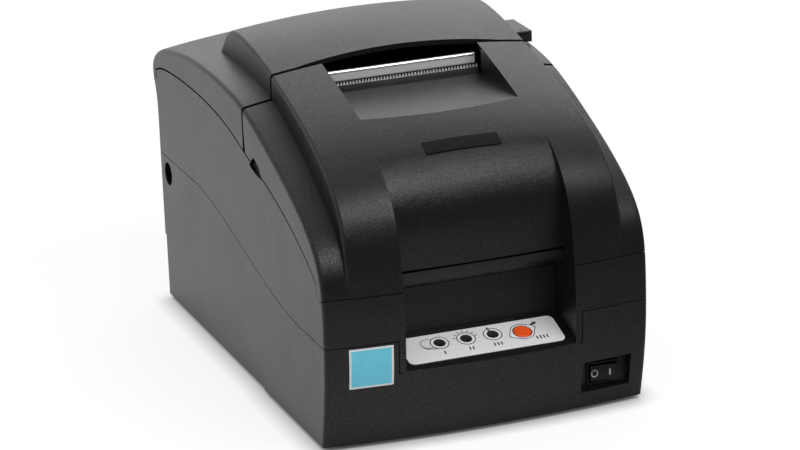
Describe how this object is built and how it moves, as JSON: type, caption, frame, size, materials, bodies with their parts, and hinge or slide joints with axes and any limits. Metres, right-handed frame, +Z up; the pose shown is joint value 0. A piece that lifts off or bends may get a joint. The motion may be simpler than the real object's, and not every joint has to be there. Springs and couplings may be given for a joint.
{
  "type": "receipt printer",
  "caption": "Desktop impact receipt printer with a hinged front cover, a rear paper cover with an opening lever, a recessed operation panel, a tear bar and a shuttle print mechanism inside.",
  "frame": {"origin": "centre of the bounding box in plan, at the foot of the rubber feet", "axes": "+Z up, the front with the operation panel faces -Y, +X to the right as seen from the front"},
  "size_m": [0.16, 0.2575, 0.1654],
  "materials": {
    "case_plastic": "fine-grained charcoal",
    "foot_rubber": "matt black",
    "panel_film": "silver-grey speckled film",
    "clear_lens": "pale translucent",
    "lamp": "diffused",
    "circuit_board": "green solder mask",
    "button_red": "orange-red",
    "black_plastic": "plain black",
    "steel": "bare sheet",
    "plate_gloss": "bare gloss black",
    "sticker_film": "teal with a white border",
    "grey_sheet": "grey",
    "roller_rubber": "ground",
    "motor_steel": "drawn can",
    "brass": "turned",
    "white_plastic": "natural",
    "aluminium": "extruded",
    "belt_rubber": "ribbed",
    "ribbon_fabric": "inked"
  },
  "bodies": {
    "base": {"lower_case": "case_plastic", "upper_case": "case_plastic", "rubber_feet": "foot_rubber", "panel_label": "panel_film", "lamp_windows": "clear_lens", "status_lamps": "lamp", "panel_board": "circuit_board", "push_switch": "black_plastic", "power_switch": "black_plastic", "front_hinge_pins": "steel", "rear_hinge_pins": "steel", "front_sticker": "sticker_film", "mechanism_base": "steel", "carriage_shaft": "steel", "carriage_rail": "steel", "platen": "roller_rubber", "tear_bar": "steel", "feed_motor": "motor_steel", "gear_studs": "steel", "feed_bushes": "white_plastic", "carriage_motor": "motor_steel", "timing_belt": "belt_rubber", "ribbon_cartridge": "black_plastic", "ink_ribbon": "ribbon_fabric", "paper_bucket": "black_plastic", "main_board": "circuit_board", "board_screws": "steel", "mechanism_screws": "steel", "case_screws": "steel", "interface_plate": "steel", "data_connector": "black_plastic", "plate_screws": "steel", "drawer_jack": "black_plastic", "power_inlet": "black_plastic", "side_frame_right": "steel", "side_frame_left": "steel"},
    "front_cover": {"front_cover": "case_plastic", "name_plate": "plate_gloss"},
    "paper_cover": {"paper_cover": "case_plastic", "paper_guide_plate": "grey_sheet", "lever_pin": "steel"},
    "open_lever": {"open_lever": "case_plastic"},
    "pinch_roller": {"pinch_shaft": "steel", "pinch_rollers": "roller_rubber"},
    "feed_button": {"feed_button": "button_red"},
    "power_rocker": {"power_rocker": "black_plastic"},
    "carriage": {"head_carriage": "black_plastic", "carriage_bushes": "brass", "print_head": "black_plastic", "head_heat_sink": "aluminium"},
    "motor_pulley": {"motor_pulley": "brass"},
    "idler_pulley": {"idler_pulley": "white_plastic"},
    "ribbon_drive": {"ribbon_drive": "white_plastic"},
    "motor_pinion": {"feed_motor_pinion": "brass"},
    "first_gear": {"first_gear": "white_plastic"},
    "second_gear": {"second_gear": "white_plastic"},
    "feed_roller": {"feed_gear": "white_plastic", "feed_shaft": "steel", "feed_rollers": "roller_rubber"}
  },
  "joints": [
    {"name": "front_cover_hinge", "type": "hinge", "parent": "base", "child": "front_cover", "pos_m": [0, -0.1208, 0.08], "axis": [1, 0, 0], "range_deg": [0, 60]},
    {"name": "paper_cover_hinge", "type": "hinge", "parent": "base", "child": "paper_cover", "pos_m": [0, 0.1254, 0.121], "axis": [-1, 0, 0], "range_deg": [0, 85]},
    {"name": "open_lever_pivot", "type": "hinge", "parent": "paper_cover", "child": "open_lever", "pos_m": [0.0742, 0.022, 0.126], "axis": [-1, 0, 0], "range_deg": [0, 14], "stiffness_Nm_per_rad": 0.05, "springref_deg": -11.46},
    {"name": "pinch_roller_spin", "type": "hinge", "parent": "paper_cover", "child": "pinch_roller", "pos_m": [0, -0.01425, 0.122], "axis": [1, 0, 0], "continuous": true},
    {"name": "feed_button_press", "type": "slide", "parent": "base", "child": "feed_button", "axis": [0, 0.3048, -0.9524], "range_m": [0, 0.0005], "stiffness_N_per_m": 500, "springref_m": -0.001},
    {"name": "power_rocker_tilt", "type": "hinge", "parent": "base", "child": "power_rocker", "pos_m": [0.0597, -0.115, 0.0169], "axis": [0, 0, 1], "range_deg": [0, 13]},
    {"name": "carriage_slide", "type": "slide", "parent": "base", "child": "carriage", "axis": [1, 0, 0], "range_m": [-0.027, 0.027]},
    {"name": "motor_pulley_spin", "type": "hinge", "parent": "base", "child": "motor_pulley", "pos_m": [-0.047, -0.05, 0.081], "axis": [0, 0, 1], "range_deg": [-282, 282]},
    {"name": "idler_pulley_spin", "type": "hinge", "parent": "base", "child": "idler_pulley", "pos_m": [0.041, -0.05, 0.081], "axis": [0, 0, 1], "range_deg": [-282, 282]},
    {"name": "ribbon_drive_spin", "type": "hinge", "parent": "base", "child": "ribbon_drive", "pos_m": [-0.047, -0.064, 0.09], "axis": [0, 0, 1], "range_deg": [-282, 282]},
    {"name": "motor_pinion_spin", "type": "hinge", "parent": "base", "child": "motor_pinion", "pos_m": [0.06, -0.08, 0.084], "axis": [1, 0, 0], "continuous": true},
    {"name": "first_gear_spin", "type": "hinge", "parent": "base", "child": "first_gear", "pos_m": [0.06, -0.06341, 0.09517], "axis": [1, 0, 0], "continuous": true},
    {"name": "second_gear_spin", "type": "hinge", "parent": "base", "child": "second_gear", "pos_m": [0.06, -0.04141, 0.10998], "axis": [1, 0, 0], "continuous": true},
    {"name": "feed_roller_spin", "type": "hinge", "parent": "base", "child": "feed_roller", "pos_m": [0, -0.02355, 0.122], "axis": [1, 0, 0], "continuous": true}
  ],
  "couplings": [
    {"joint": "second_gear_spin", "follows": "feed_roller_spin", "ratio": -1.1667},
    {"joint": "first_gear_spin", "follows": "feed_roller_spin", "ratio": 0.7},
    {"joint": "motor_pinion_spin", "follows": "feed_roller_spin", "ratio": -2.3333},
    {"joint": "pinch_roller_spin", "follows": "feed_roller_spin", "ratio": -1.5},
    {"joint": "motor_pulley_spin", "follows": "carriage_slide", "rad_per_m": -181.82},
    {"joint": "idler_pulley_spin", "follows": "carriage_slide", "rad_per_m": -181.82},
    {"joint": "ribbon_drive_spin", "follows": "carriage_slide", "rad_per_m": 136.36}
  ]
}
